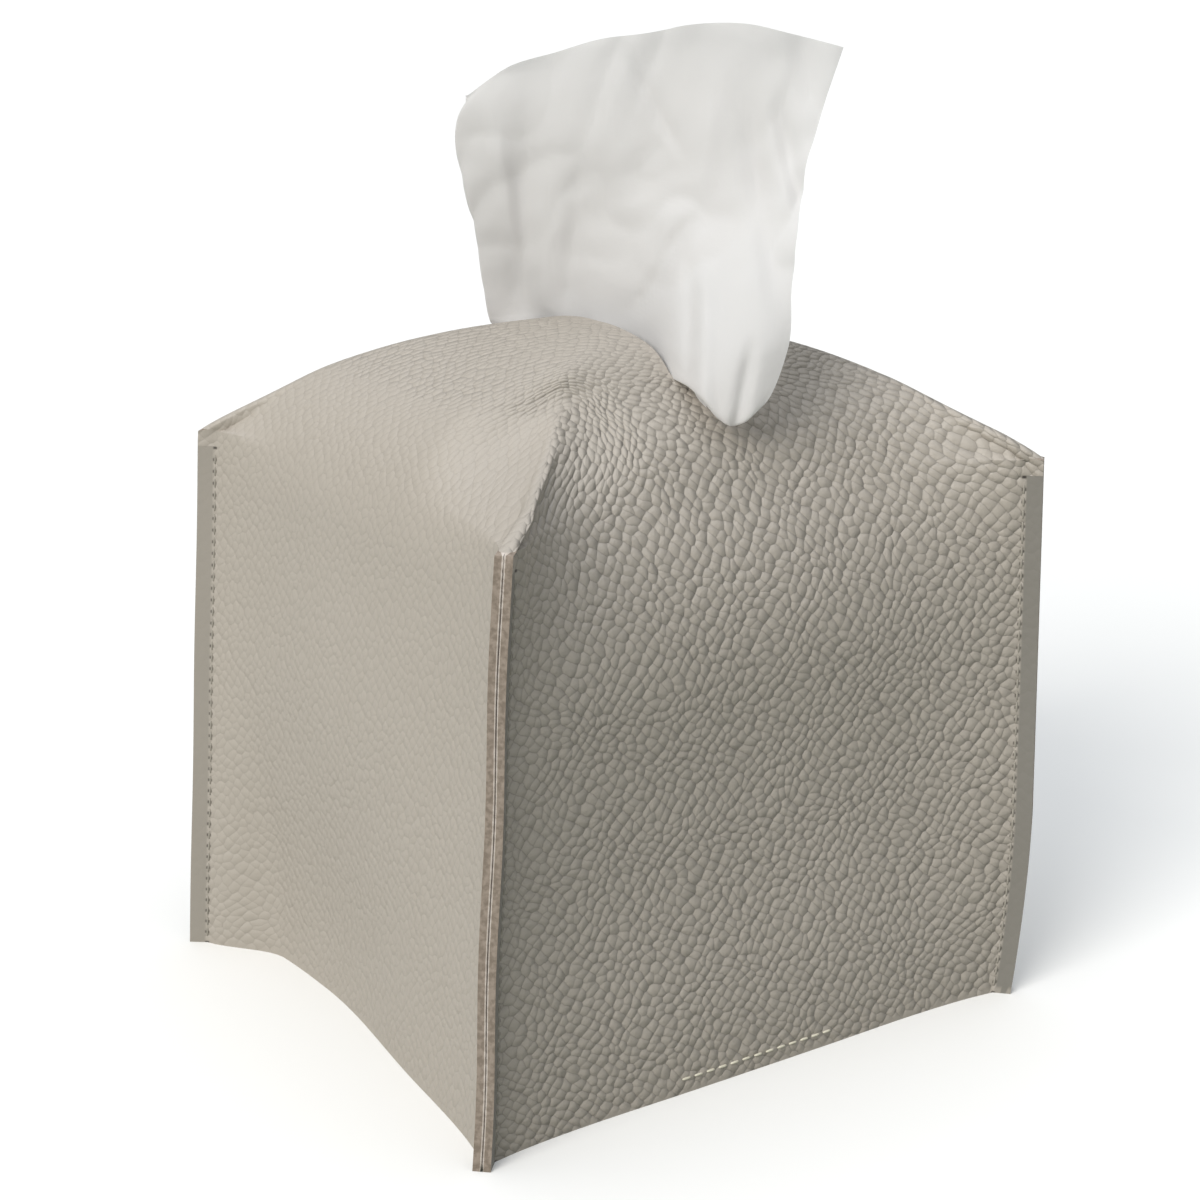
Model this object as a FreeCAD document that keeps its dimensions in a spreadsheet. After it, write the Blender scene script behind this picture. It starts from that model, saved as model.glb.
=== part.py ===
import FreeCAD, Part
import math
import os

import Sketcher
from FreeCAD import Placement, Rotation, Vector

# A soft cube cover of leather for a square tissue carton. The origin is on the table under the middle of
# the cover, +Z is up, and the front panel, which carries the closing belt, faces -Y.

SIZES = (
    # The leather cover
    ("panel_span", 122, "outer face to outer face of opposite panels"),
    ("seam_reach", 5, "raw edge of a corner seam past the panels, along X and along Y"),
    ("crown_height", 150, "top of the crown"),
    ("vault_radius", 93, "arc of the crown, and of the ridge that runs to each seam"),
    ("shoulder_radius", 30, "roll of each panel into the crown"),
    ("leather_thick", 2, "one ply"),
    ("ply_gap", 0.3, "between the two plies of a seam"),
    ("fold_cap", 2.5, "leather folded over the top end of a seam"),
    ("flare_share", 0.45, "curved part of the way from panel to raw edge"),
    ("crease_share", 0.3, "half width of the ridge over the crown, of one ply"),
    ("slot_length", 80, "along Y"),
    ("slot_width", 10, "along X"),
    ("cut_overrun", 3, "past the face that a cut leaves by"),
    # How the soft cover stands
    ("foot_splay", 3.9, "each side panel stands out at the table"),
    ("top_splay", 1.4, "each side panel stands out at the top of the seams"),
    ("top_draw", 3.1, "front and back are each drawn in at the top of the seams"),
    ("lean_right", 4.2, "top of the seams past their foot, along X"),
    ("lean_front", 1.1, "top of the seams past their foot, along -Y"),
    ("lean_pivot", 24.5, "height at which the cover stands centred along X"),
    ("foot_band", 14, "straight foot of the panels that carry the belts"),
    ("left_bow", 8.2, "left panel pressed in at the table"),
    ("left_bow_back", 20, "deepest place of that bow behind the middle"),
    ("right_bow", 3, "right panel pressed in at the table"),
    ("bow_height", 78, "where the bows end"),
    ("waist_dish", 1.8, "front drawn in between its seams"),
    ("shoulder_dish", 1.8, "front drawn in further at its shoulder"),
    # Stitches
    ("seam_allowance", 4, "stitch row to raw edge"),
    ("stitch_pitch", 2.7, "hole to hole"),
    ("stitch_length", 2, "thread shown between two holes"),
    ("thread_width", 0.6, "one stitch across"),
    ("thread_proud", 0.3, "one stitch above the leather"),
    ("stitch_rise", 0.9, "stitch row of a belt above the lower edge of its sewn end"),
    # The belt and the tab that close the bottom
    ("belt_width", 38, "along X"),
    ("belt_thick", 1.6, "belt and tab"),
    ("belt_floor_gap", 0.5, "belt above the table"),
    ("belt_end_height", 8, "sewn end on the panel"),
    ("tab_reach", 31, "tab from its bend to its tip"),
    ("lap_length", 21.2, "belt's tip past the tab's tip"),
    ("tip_radius", 5, "corners of a belt's tip"),
    ("bend_clearance", 0.3, "round the bend of a belt"),
    ("pad_length", 18, "along Y"),
    ("pad_width", 32, "along X"),
    ("pad_thick", 1, "hook tape and loop tape"),
    ("pad_radius", 2, "corners of a pad"),
    ("pad_hem", 2, "stitch row inside the edge of a pad"),
    # The carton and the tissues
    ("carton_clearance", 6.5, "carton to the leather as it is cut, on each side"),
    ("carton_head", 5, "carton below the start of the shoulders"),
    ("carton_seat", 0.1, "carton above the stitches of the tab"),
    ("board_thick", 0.8, "one wall of the carton"),
    ("opening_length", 92, "oval in the top of the carton, along Y"),
    ("opening_width", 34, "oval in the top of the carton, along X"),
    ("stack_clearance", 0.6, "tissues to the carton on each side"),
    ("stack_height", 62, "folded tissues left in the carton"),
    ("stack_radius", 6, "corners of the folded tissues"),
    # The tissue in the slot
    ("tissue_thick", 1.2, "two plies with the air in their creases"),
    ("tissue_rise", 60, "middle of the top edge above the crown"),
    ("tissue_clear", 1, "straight part of the tissue above the crown"),
    ("tissue_grip_width", 56, "gathered width in the slot"),
    ("tissue_top_width", 82, "width along the top edge"),
    ("tissue_wave", 3, "swing of the folds in the slot"),
    ("tissue_top_wave", 5, "swing of the folds along the top edge"),
    ("tissue_shift", 4, "middle of the top edge past the slot, along X"),
    ("tissue_slant", 9, "right end of the top edge above its left end"),
    ("fan_share", 0.55, "power by which the tissue opens as it rises"),
    ("tissue_seat", 0.3, "tail above the folded tissues"),
    ("lobe_reach", 50, "tip of the fold that hangs over the front, from the middle"),
    ("lobe_gap", 1, "that tip above the leather"),
    ("lobe_width", 24, "that fold at its widest"),
    ("lobe_rise", 22, "top of that fold above the crown"),
    ("lobe_root_share", 0.25, "top of that fold in from the end of the tissue, of its width"),
    ("lobe_bow_share", 0.5, "bulge of that fold, of its half width"),
)

CORNERS = (("front_left", -135), ("front_right", -45), ("back_right", 45), ("back_left", 135))
TISSUE_TURN_DEGREES = 55.5
TISSUE_FOLDS = 5
TISSUE_POINTS = 18

doc = FreeCAD.newDocument("tissue_box_cover")
sheet = doc.addObject("Spreadsheet::Sheet", "Sizes")
for row, (alias, value, meaning) in enumerate(SIZES, 1):
    sheet.set(f"A{row}", meaning)
    sheet.set(f"B{row}", str(value))
    sheet.setAlias(f"B{row}", alias)
doc.recompute()

pieces = []

# Expressions that several pieces share
PANEL = "(Sizes.panel_span / 2)"
INNER = "(Sizes.panel_span / 2 - Sizes.leather_thick)"
TIP = "(Sizes.panel_span / 2 + Sizes.seam_reach)"
VAULT_Z = "(Sizes.crown_height - Sizes.vault_radius)"
SEAM_TOP = f"({VAULT_Z} + sqrt(Sizes.vault_radius ^ 2 - {TIP} ^ 2))"
ROLL_X = "(Sizes.panel_span / 2 - Sizes.shoulder_radius)"
ROLL_Z = f"({VAULT_Z} + sqrt((Sizes.vault_radius - Sizes.shoulder_radius) ^ 2 - {ROLL_X} ^ 2))"
SLOT_X = f"(Sizes.lean_right * (Sizes.crown_height - Sizes.lean_pivot) / {SEAM_TOP})"
SLOT_Y = f"(-Sizes.lean_front * Sizes.crown_height / {SEAM_TOP})"
BELT_Z = "Sizes.belt_floor_gap"
HOOK_Z = f"({BELT_Z} + Sizes.belt_thick)"
LOOP_Z = f"({HOOK_Z} + Sizes.pad_thick)"
TAB_Z = f"({LOOP_Z} + Sizes.pad_thick)"
BEND_Y = f"({INNER} - Sizes.belt_thick / 2 - Sizes.bend_clearance)"
BELT_REACH = f"(2 * {BEND_Y} - Sizes.tab_reach + Sizes.lap_length)"
LAP_Y = f"({BEND_Y} - Sizes.tab_reach + Sizes.lap_length / 2)"
CARTON = f"({INNER} - Sizes.carton_clearance)"
CARTON_Z = f"({TAB_Z} + Sizes.belt_thick + Sizes.thread_proud + Sizes.carton_seat)"
CARTON_TOP = f"({ROLL_Z} - Sizes.carton_head)"
STACK = f"({CARTON} - Sizes.board_thick - Sizes.stack_clearance)"
STACK_Z = f"({CARTON_Z} + Sizes.board_thick)"
PLACES = {"x": "Placement.Base.x", "y": "Placement.Base.y", "z": "Placement.Base.z"}


def size(alias):
    return float(sheet.get(alias))


def value_of(expression):
    return float(sheet.evalExpression(expression))


def bind(thing, expressions):
    for name, expression in expressions.items():
        thing.setExpression(PLACES.get(name, name), expression)


def keep(thing, label):
    """Counts an object as a finished piece, under the name of its file."""
    thing.Label = label
    pieces.append(thing)


def box(name, expressions):
    """A box by its Length, Width, Height and its corner x, y, z."""
    made = doc.addObject("Part::Box", name)
    bind(made, expressions)
    return made


def group(kind, name, links):
    """A fusion, intersection or compound of several objects."""
    made = doc.addObject(kind, name)
    setattr(made, "Links" if kind == "Part::Compound" else "Shapes", links)
    return made


def cut(name, base, tool):
    made = doc.addObject("Part::Cut", name)
    made.Base = base
    made.Tool = tool
    return made


def oval(name, length, width, low, high, x="0", y="0"):
    """An upright prism with two round ends, long in Y, about the place x, y."""
    middle = box(name + "_middle", {
        "Length": width, "Width": f"{length} - {width}", "Height": f"{high} - {low}",
        "x": f"{x} - {width} / 2", "y": f"{y} - ({length} - {width}) / 2", "z": low})
    ends = []
    for side in (-1, 1):
        end = doc.addObject("Part::Cylinder", name + "_end")
        bind(end, {"Radius": f"{width} / 2", "Height": f"{high} - {low}", "z": low, "x": x,
                   "y": f"{y} + {side} * ({length} - {width}) / 2"})
        ends.append(end)
    return group("Part::MultiFuse", name, [middle] + ends)


def sketch_on(body, role):
    sketch = body.newObject("Sketcher::SketchObject", body.Name + "_sketch")
    plane = [plane for plane in body.Origin.OriginFeatures if plane.Role == role][0]
    sketch.AttachmentSupport = [(plane, "")]
    sketch.MapMode = "FlatFace"
    return sketch


def drive(sketch, label, constraint, expression):
    """Adds a constraint whose value follows an expression."""
    index = sketch.addConstraint(Sketcher.Constraint(*constraint, value_of(expression)))
    sketch.renameConstraint(index, label)
    sketch.setExpression(f"Constraints.{label}", expression)


def close_loop(sketch, count):
    for index in range(count):
        sketch.addConstraint(Sketcher.Constraint("Coincident", index, 2, (index + 1) % count, 1))


def plate(name, left, right, low, high, floor, thick, radius, round_ends):
    """A flat plate on the level floor, with the corners at its low or high end, or both, rounded."""
    body = doc.addObject("PartDesign::Body", name)
    sketch = sketch_on(body, "XY_Plane")
    ends = [value_of(low), value_of(high)]
    corners = []
    for x, y in ((left, low), (right, low), (right, high), (left, high)):
        corners.append(Vector(value_of(x), value_of(y), 0))
    for start, end in zip(corners, corners[1:] + corners[:1]):
        sketch.addGeometry(Part.LineSegment(start, end))
    close_loop(sketch, len(corners))
    for index, way in enumerate(("Horizontal", "Vertical", "Horizontal", "Vertical")):
        sketch.addConstraint(Sketcher.Constraint(way, index))
    drive(sketch, "left", ("DistanceX", -1, 1, 0, 1), left)
    drive(sketch, "low", ("DistanceY", -1, 1, 0, 1), low)
    drive(sketch, "right", ("DistanceX", -1, 1, 2, 1), right)
    drive(sketch, "high", ("DistanceY", -1, 1, 2, 1), high)
    bind(sketch, {"AttachmentOffset.Base.z": floor})
    pad = body.newObject("PartDesign::Pad", name + "_pad")
    pad.Profile = sketch
    bind(pad, {"Length": thick})
    doc.recompute()
    fillet = body.newObject("PartDesign::Fillet", name + "_corners")
    fillet.Base = (pad, upright_edges(pad.Shape, [ends[end] for end in round_ends]))
    bind(fillet, {"Radius": radius})
    return body


def upright_edges(shape, places):
    """The names of the edges along Z whose Y is one of places."""
    found = []
    for number, edge in enumerate(shape.Edges, 1):
        bounds = edge.BoundBox
        upright = bounds.ZLength > bounds.XLength + bounds.YLength
        near = any(math.isclose(bounds.YMin, place, abs_tol=size("ply_gap")) for place in places)
        if upright and near:
            found.append(f"Edge{number}")
    return found


# The leather cover


def smooth(low, high, place):
    share = min(max((place - low) / (high - low), 0), 1)
    return share * share * (3 - 2 * share)


def stance(z):
    """How the soft cover stands at a height: its shift, and its stretch along X and along Y."""
    rise = z / value_of(SEAM_TOP)
    held, panel = min(rise, 1), value_of(PANEL)
    shift_x = size("lean_right") * (z - size("lean_pivot")) / value_of(SEAM_TOP)
    splay = size("foot_splay") + held * (size("top_splay") - size("foot_splay"))
    shift = Vector(shift_x, -size("lean_front") * rise, 0)
    return shift, 1 + splay / panel, 1 - held * size("top_draw") / panel


def panel_depths(z):
    """How far each panel is drawn in between its seams, and where: left, front, right and back."""
    bow_height, roll_z = size("bow_height"), value_of(ROLL_Z)
    shoulder_end = roll_z + size("shoulder_radius")
    low = 1 - smooth(0, bow_height, z)
    dish = size("waist_dish") * smooth(size("foot_band"), bow_height, z)
    dish += size("shoulder_dish") * smooth(bow_height, roll_z, z)
    dish *= 1 - smooth(value_of(SEAM_TOP), shoulder_end, z)
    bow_place = -size("left_bow_back") * low
    return (size("left_bow") * low, bow_place), (dish, 0), (size("right_bow") * low, 0), (0, 0)


def fin_point(angle, tip, z, back, off):
    """A point of a corner's fin, by its distance back from the raw edge and off the fin's middle."""
    shift, stretch_x, stretch_y = stance(z)
    out = Rotation(Vector(0, 0, 1), angle).multVec(Vector(1, 0, 0))
    side = Vector(-out.y, out.x, 0)
    raw_edge = Vector(math.copysign(tip * stretch_x, out.x), math.copysign(tip * stretch_y, out.y), z)
    return raw_edge + shift - out * back + side * off


def panel_places(half_panel, half_tip, half_ridge, z):
    """What a level needs for each panel: its turn, its distance out and that of the next panel, the length
    of its fin side and of the next panel's, half its run, and its depth."""
    _, stretch_x, stretch_y = stance(z)
    root_two = math.sqrt(2)
    for index, ((_, angle), depth) in enumerate(zip(CORNERS, panel_depths(z))):
        stretch, other = (stretch_y, stretch_x) if index % 2 else (stretch_x, stretch_y)
        out, beside = half_panel * stretch, half_panel * other
        fin = root_two * (half_tip - half_panel) * stretch + half_ridge
        next_fin = root_two * (half_tip - half_panel) * other + half_ridge
        meet = half_tip * other - (half_tip - half_panel) * stretch - root_two * half_ridge
        yield angle, out, beside, fin, next_fin, meet - size("flare_share") * fin, depth


def panel_run(at, out, half_run, depth):
    """The middle of a panel, straight or drawn in at one place."""
    inward, place = depth
    start, end = at(-half_run, -out), at(half_run, -out)
    if not inward:
        return Part.makeLine(start, end)
    curve = Part.BSplineCurve()
    curve.interpolate([start, at(place, inward - out), end])
    return curve.toShape()


def level_frame(angle, z):
    """A function that places a point of a panel's level, drawn with the panel in front."""
    turn, shift = Rotation(Vector(0, 0, 1), angle + 45), stance(z)[0]
    return lambda x, y: turn.multVec(Vector(x, y, z)) + shift


def cover_section(half_panel, half_tip, half_ridge, z):
    """One level of the cover's outside: four panels that flare into a straight fin on each diagonal."""
    half_turn = math.radians(45) / 2
    share = size("flare_share")

    def flare(start, middle, end):
        on_crown = half_tip <= half_panel
        return Part.makeLine(start, end) if on_crown else Part.Arc(start, middle, end).toShape()

    edges = []
    places = panel_places(half_panel, half_tip, half_ridge, z)
    for angle, out, beside, fin, next_fin, half_run, depth in places:
        at = level_frame(angle, z)

        def on_fin(back, side):
            return fin_point(angle, half_tip, z, back, side * half_ridge)

        radius, next_radius = share * fin / math.tan(half_turn), share * next_fin / math.tan(half_turn)
        rise, next_rise = radius * (1 - math.cos(half_turn)), next_radius * (1 - math.cos(half_turn))
        start, end = at(half_run, -out), on_fin((1 - share) * fin, -1)
        middle = at(half_run + radius * math.sin(half_turn), -out - rise)
        next_start = on_fin((1 - share) * next_fin, 1)
        next_run = half_tip * (out / half_panel) - (half_tip - half_panel) * (beside / half_panel)
        next_run -= math.sqrt(2) * half_ridge + share * next_fin
        next_middle = at(beside + next_rise, -next_run - next_radius * math.sin(half_turn))
        edges.append(panel_run(at, out, half_run, depth))
        edges.append(flare(start, middle, end))
        edges.append(Part.makeLine(end, on_fin(0, -1)))
        edges.append(Part.makeLine(on_fin(0, -1), on_fin(0, 1)))
        edges.append(Part.makeLine(on_fin(0, 1), next_start))
        edges.append(flare(next_start, next_middle, at(beside, -next_run)))
    return Part.Wire(edges)


def hollow_section(half_panel, half_tip, half_ridge, z):
    """One level of the hollow: four panels that meet at plain corners."""
    edges = []
    for angle, out, beside, _, _, half_run, depth in panel_places(half_panel, half_tip, half_ridge, z):
        at = level_frame(angle, z)
        edges.append(Part.makeLine(at(-beside, -out), at(-half_run, -out)))
        edges.append(panel_run(at, out, half_run, depth))
        edges.append(Part.makeLine(at(half_run, -out), at(beside, -out)))
    return Part.Wire(edges)


def cover_levels(inset, foot):
    """The levels from the foot to the crown, on the outside or inset by one ply: half of the panel, of the
    tip and of the ridge, and the height."""
    panel, tip, ply = value_of(PANEL) - inset, value_of(TIP), size("leather_thick")
    vault, vault_z = size("vault_radius") - inset, value_of(VAULT_Z)
    roll, roll_x, roll_z = size("shoulder_radius") - inset, value_of(ROLL_X), value_of(ROLL_Z)
    crease = size("crease_share") * ply
    seam_turn = math.asin((value_of(SEAM_TOP) - roll_z) / size("shoulder_radius"))
    roll_end = math.atan2(roll_z - vault_z, roll_x)
    vault_end = math.pi / 2 - roll_end
    seam_shares = (0, 0.5, 1)
    ridge_shares = (0.25, 0.5, 0.75)
    vault_shares = (1, 0.75, 0.5, 0.25, 0.06)
    bow_height = size("bow_height")
    levels = [(panel, tip, ply, z) for z in (foot, size("foot_band"), bow_height / 2, bow_height)]
    for share in seam_shares:
        turn = share * seam_turn
        levels.append((roll_x + roll * math.cos(turn), tip, ply, roll_z + roll * math.sin(turn)))
    for share in ridge_shares:
        turn = seam_turn + share * (roll_end - seam_turn)
        half, z = roll_x + roll * math.cos(turn), roll_z + roll * math.sin(turn)
        ridge = math.sqrt(vault ** 2 - (z - vault_z) ** 2)
        levels.append((half, ridge, ply + share * (crease - ply), z))
    for share in vault_shares:
        half = vault * math.sin(share * vault_end)
        levels.append((half, half, crease, vault_z + vault * math.cos(share * vault_end)))
    return levels


def cover_loft(name, section, levels):
    made = doc.addObject("Part::Feature", name)
    made.Shape = Part.makeLoft([section(*level) for level in levels], True, True)
    return made


def seam_slit(name, angle):
    """The gap between the two plies of a seam, from the hollow to the raw edge."""
    over, half = size("cut_overrun"), size("ply_gap") / 2
    tip = value_of(TIP)
    back = (tip - value_of(INNER)) * math.sqrt(2) + size("leather_thick")
    ends = []
    for z in (-over, value_of(SEAM_TOP) - size("fold_cap")):
        corners = [(-over, -half), (back, -half), (back, half), (-over, half)]
        points = [fin_point(angle, tip, z, *corner) for corner in corners]
        ends.append(Part.makePolygon(points + points[:1]))
    made = doc.addObject("Part::Feature", name)
    made.Shape = Part.makeLoft(ends, True, True)
    return made


def leather_cover():
    outside = cover_loft("cover_outside", cover_section, cover_levels(0, 0))
    levels = cover_levels(size("leather_thick"), -size("cut_overrun"))
    hollow = cover_loft("hollow", hollow_section, levels)
    slits = [seam_slit(f"slit_{name}", angle) for name, angle in CORNERS]
    slot = oval("slot", "Sizes.slot_length", "Sizes.slot_width", "Sizes.crown_height / 2",
                "(Sizes.crown_height + Sizes.cut_overrun)", SLOT_X, SLOT_Y)
    shell = cut("cover_shell", outside, hollow)
    open_seams = cut("cover_open_seams", shell, group("Part::Compound", "slits", slits))
    keep(cut("cover", open_seams, slot), "leather_cover")


# Stitches


def stitch(place, along, out):
    """One crowned length of thread that lies on a face, centred on place."""
    half, wide, proud = size("stitch_length") / 2, size("thread_width") / 2, size("thread_proud")
    across = along.cross(out)
    end = place - along * half
    corners = [end + across * wide, end - across * wide, end + out * proud]
    face = Part.Face(Part.makePolygon(corners + corners[:1]))
    return face.extrude(along * (2 * half))


def stitch_row(start, end, out):
    """Stitches at their pitch from start to end, evened out over the row."""
    run = end - start
    count = max(1, math.floor(run.Length / size("stitch_pitch")))
    along = Vector(run).normalize()
    return [stitch(start + run * ((index + 0.5) / count), along, out) for index in range(count)]


def thread(label, stitches):
    made = doc.addObject("Part::Feature", label)
    made.Shape = Part.makeCompound(stitches)
    keep(made, label)


def seam_threads():
    """The needle side and the bobbin side of each corner seam."""
    tip, allowance, ply = value_of(TIP), size("seam_allowance"), size("leather_thick")
    low, high = size("stitch_pitch"), value_of(SEAM_TOP) - size("fold_cap")
    for name, angle in CORNERS:
        stitches = []
        for side in (-1, 1):
            start, end = [fin_point(angle, tip, z, allowance, side * ply) for z in (low, high)]
            along_fin = start - fin_point(angle, tip, low, 0, side * ply)
            out = along_fin.cross(end - start).normalize() * side
            stitches += stitch_row(start, end, out)
        thread(f"seam_thread_{name}", stitches)


def panel_face(side, half, z):
    """A point in the middle of the front or back panel's foot."""
    shift, _, stretch_y = stance(z)
    return Vector(0, side * half * stretch_y + shift.y, z)


def belt_row(label, side, floor):
    """The stitches that hold a sewn end: one row outside on the panel, one inside on the end."""
    half_row = Vector(size("belt_width") / 2, 0, 0)
    rise, thick = size("stitch_rise"), Vector(0, side * size("belt_thick"), 0)
    rows = []
    for half, inward, way in ((value_of(PANEL), Vector(), 1), (value_of(INNER), thick, -1)):
        foot, place = panel_face(side, half, floor), panel_face(side, half, floor + rise)
        out = half_row.cross(place - foot).normalize() * (-side * way)
        middle = place - inward
        rows += stitch_row(middle - half_row, middle + half_row, out)
    thread(label, rows)


def pad_row(label, z, up):
    """A rectangle of stitches that shows on the side of a belt away from its pad."""
    lap = value_of(LAP_Y)
    wide = size("pad_width") / 2 - size("pad_hem")
    long = size("pad_length") / 2 - size("pad_hem")
    signs = ((-1, -1), (1, -1), (1, 1), (-1, 1))
    corners = [Vector(wide * right, lap + long * back, z) for right, back in signs]
    rows = []
    for start, end in zip(corners, corners[1:] + corners[:1]):
        rows += stitch_row(start, end, Vector(0, 0, up))
    thread(label, rows)


# The belt and the tab


def strap(name, label, side, reach, floor):
    """The free length of a belt: a plate with a rounded tip, and a round bend where it leaves its panel."""
    bend, tip = f"{side} * {BEND_Y}", f"{side} * ({BEND_Y} - {reach})"
    low, high = (bend, tip) if side < 0 else (tip, bend)
    flat = plate(name + "_flat", "-Sizes.belt_width / 2", "Sizes.belt_width / 2", low, high, floor,
                 "Sizes.belt_thick", "Sizes.tip_radius", [1 if side < 0 else 0])
    knuckle = doc.addObject("Part::Cylinder", name + "_bend")
    knuckle.Placement = Placement(Vector(), Rotation(Vector(0, 1, 0), 90))
    bind(knuckle, {"Radius": "Sizes.belt_thick / 2", "Height": "Sizes.belt_width",
                   "x": "-Sizes.belt_width / 2", "y": bend, "z": f"{floor} + Sizes.belt_thick / 2"})
    keep(group("Part::MultiFuse", name, [flat, knuckle]), label)


def sewn_end(name, label, side, floor):
    """The end of a belt, flat against the inside of its panel, just above the bend."""
    half_width, thick = Vector(size("belt_width") / 2, 0, 0), Vector(0, side * size("belt_thick"), 0)
    low = value_of(floor) + size("belt_thick") + size("bend_clearance")
    foot, head = [panel_face(side, value_of(INNER), z) for z in (low, low + size("belt_end_height"))]
    corners = [corner - half_width for corner in (foot, head, head - thick, foot - thick)]
    made = doc.addObject("Part::Feature", name)
    made.Shape = Part.Face(Part.makePolygon(corners + corners[:1])).extrude(half_width * 2)
    keep(made, label)


def tape(name, label, floor):
    """Hook tape or loop tape, in the lap of the belt and the tab."""
    low, high = f"{LAP_Y} - Sizes.pad_length / 2", f"{LAP_Y} + Sizes.pad_length / 2"
    keep(plate(name, "-Sizes.pad_width / 2", "Sizes.pad_width / 2", low, high, floor,
               "Sizes.pad_thick", "Sizes.pad_radius", [0, 1]), label)


def bottom_closure():
    belt_floor, tab_floor = value_of(BELT_Z), value_of(TAB_Z)
    thick, gap = size("belt_thick"), size("bend_clearance")
    sewn_end("belt_end", "front_belt_end", -1, BELT_Z)
    sewn_end("tab_end", "back_tab_end", 1, TAB_Z)
    strap("belt", "closing_belt", -1, BELT_REACH, BELT_Z)
    strap("tab", "closing_tab", 1, "Sizes.tab_reach", TAB_Z)
    tape("hooks", "hook_pad", HOOK_Z)
    tape("loops", "loop_pad", LOOP_Z)
    belt_row("front_belt_thread", -1, belt_floor + thick + gap)
    belt_row("back_tab_thread", 1, tab_floor + thick + gap)
    pad_row("hook_pad_thread", belt_floor, -1)
    pad_row("loop_pad_thread", tab_floor + thick, 1)


# The carton and the tissues in it


def tissue_carton():
    walls = box("carton_walls", {
        "Length": f"2 * {CARTON}", "Width": f"2 * {CARTON}", "Height": f"{CARTON_TOP} - {CARTON_Z}",
        "x": f"-{CARTON}", "y": f"-{CARTON}", "z": CARTON_Z})
    room = box("carton_room", {
        "Length": f"2 * ({CARTON} - Sizes.board_thick)", "Width": f"2 * ({CARTON} - Sizes.board_thick)",
        "Height": f"{CARTON_TOP} - {CARTON_Z} - 2 * Sizes.board_thick",
        "x": f"-({CARTON} - Sizes.board_thick)", "y": f"-({CARTON} - Sizes.board_thick)", "z": STACK_Z})
    opening = oval("carton_opening", "Sizes.opening_length", "Sizes.opening_width",
                   f"({CARTON_TOP} - Sizes.board_thick - Sizes.cut_overrun)",
                   f"({CARTON_TOP} + Sizes.cut_overrun)")
    keep(cut("carton", walls, group("Part::MultiFuse", "carton_hollow", [room, opening])), "tissue_carton")


def tissue_stack():
    keep(plate("stack", f"-{STACK}", STACK, f"-{STACK}", STACK, STACK_Z,
               "Sizes.stack_height", "Sizes.stack_radius", [0, 1]), "tissue_stack")


def folded_band(middle, way, width, wave, slant, z):
    """One level of the tissue: a strip folded to and fro about a line, as a closed outline."""
    side = Vector(-way.y, way.x, 0)
    line = []
    for index in range(TISSUE_POINTS + 1):
        share = index / TISSUE_POINTS
        swing = wave * math.sin(math.pi * TISSUE_FOLDS * share)
        line.append(middle + way * ((share - 0.5) * width) + side * swing)
    points = outline(line, size("tissue_thick") / 2)
    lifted = [point + Vector(0, 0, z + slant * way.dot(point - middle) / width) for point in points]
    return Part.makePolygon(lifted)


def outline(line, half):
    """The points of a closed polygon that follows a level line at half on either side of it."""
    sides = {-1: [], 1: []}
    for index, point in enumerate(line):
        before, after = line[max(index - 1, 0)], line[min(index + 1, len(line) - 1)]
        across = Vector(before.y - after.y, after.x - before.x, 0).normalize()
        for side, points in sides.items():
            points.append(point + across * (side * half))
    points = sides[1] + sides[-1][::-1]
    return points + points[:1]


def fan_level(share):
    """How the tissue lies at a share of its rise above the crown: it opens and turns most at first."""
    spread = share ** size("fan_share")
    turn = math.radians(TISSUE_TURN_DEGREES * spread - 90)
    middle = Vector(value_of(SLOT_X) + size("tissue_shift") * spread, value_of(SLOT_Y), 0)
    way = Vector(math.cos(turn), math.sin(turn), 0)
    width = size("tissue_grip_width") + spread * (size("tissue_top_width") - size("tissue_grip_width"))
    wave = size("tissue_wave") + spread * (size("tissue_top_wave") - size("tissue_wave"))
    clear = size("tissue_clear")
    z = size("crown_height") + clear + share * (size("tissue_rise") - clear)
    return middle, way, width, wave, size("tissue_slant") * share, z


def pulled_tissue():
    """A tissue gathered in the slot that fans out and turns as it rises, with one fold over the front."""
    tail = value_of(STACK_Z) + size("stack_height") + size("tissue_seat")
    level_shares = (0, 0.07, 0.2, 0.4, 0.7, 1)
    levels = [folded_band(*fan_level(0)[:-1], tail)]
    levels += [folded_band(*fan_level(share)) for share in level_shares]
    made = doc.addObject("Part::Feature", "tissue")
    made.Shape = Part.makeLoft(levels, True, True).fuse(front_lobe())
    keep(made, "pulled_tissue")


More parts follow.
